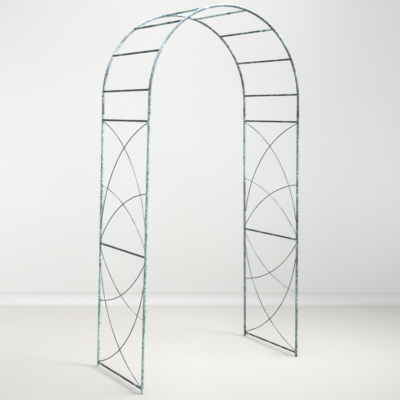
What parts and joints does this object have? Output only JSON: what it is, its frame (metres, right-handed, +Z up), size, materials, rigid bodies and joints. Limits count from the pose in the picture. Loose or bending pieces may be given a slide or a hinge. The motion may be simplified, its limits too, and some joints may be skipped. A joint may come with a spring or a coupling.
{
  "type": "garden trellis arch",
  "caption": "Round-topped metal garden arch of verdigris tube, with cross rungs over the hoops and side panels filled with crossing curved rods.",
  "frame": {"origin": "on the ground, at the middle of the four feet", "axes": "+Z up, +X to the right across the walkway, +Y from the front hoop to the rear hoop"},
  "size_m": [1.183, 0.5612, 2.2003],
  "materials": {
    "verdigris_tube": "matte verdigris patina over dark bronze",
    "bronze_rung": "matte dark bronze with teal patches",
    "bow_rod": "matte dark brown-grey",
    "spigot_steel": "matte",
    "fastener_steel": "dull darkened steel"
  },
  "bodies": {
    "root": {"upright_front_left": "verdigris_tube", "upright_front_right": "verdigris_tube", "upright_rear_left": "verdigris_tube", "upright_rear_right": "verdigris_tube", "leg_spigot_front_left": "spigot_steel", "leg_spigot_front_right": "spigot_steel", "leg_spigot_rear_left": "spigot_steel", "leg_spigot_rear_right": "spigot_steel", "hoop_front_left": "verdigris_tube", "hoop_front_right": "verdigris_tube", "hoop_rear_left": "verdigris_tube", "hoop_rear_right": "verdigris_tube", "crown_spigot_front": "spigot_steel", "crown_spigot_rear": "spigot_steel", "panel_rung_left_bottom": "bronze_rung", "panel_rung_left_middle": "bronze_rung", "panel_rung_left_top": "bronze_rung", "panel_rung_right_bottom": "bronze_rung", "panel_rung_right_middle": "bronze_rung", "panel_rung_right_top": "bronze_rung", "long_bow_left_lower_front": "bow_rod", "long_bow_left_lower_rear": "bow_rod", "long_bow_left_upper_front": "bow_rod", "long_bow_left_upper_rear": "bow_rod", "long_bow_right_lower_front": "bow_rod", "long_bow_right_lower_rear": "bow_rod", "long_bow_right_upper_front": "bow_rod", "long_bow_right_upper_rear": "bow_rod", "short_bow_left_lower_front": "bow_rod", "short_bow_left_lower_rear": "bow_rod", "short_bow_left_upper_front": "bow_rod", "short_bow_left_upper_rear": "bow_rod", "short_bow_right_lower_front": "bow_rod", "short_bow_right_lower_rear": "bow_rod", "short_bow_right_upper_front": "bow_rod", "short_bow_right_upper_rear": "bow_rod", "hoop_rung_left_1": "bronze_rung", "hoop_rung_left_2": "bronze_rung", "hoop_rung_left_3": "bronze_rung", "hoop_rung_left_4": "bronze_rung", "hoop_rung_right_1": "bronze_rung", "hoop_rung_right_2": "bronze_rung", "hoop_rung_right_3": "bronze_rung", "hoop_rung_right_4": "bronze_rung", "joint_screws": "fastener_steel", "joint_nuts": "fastener_steel"}
  },
  "joints": []
}
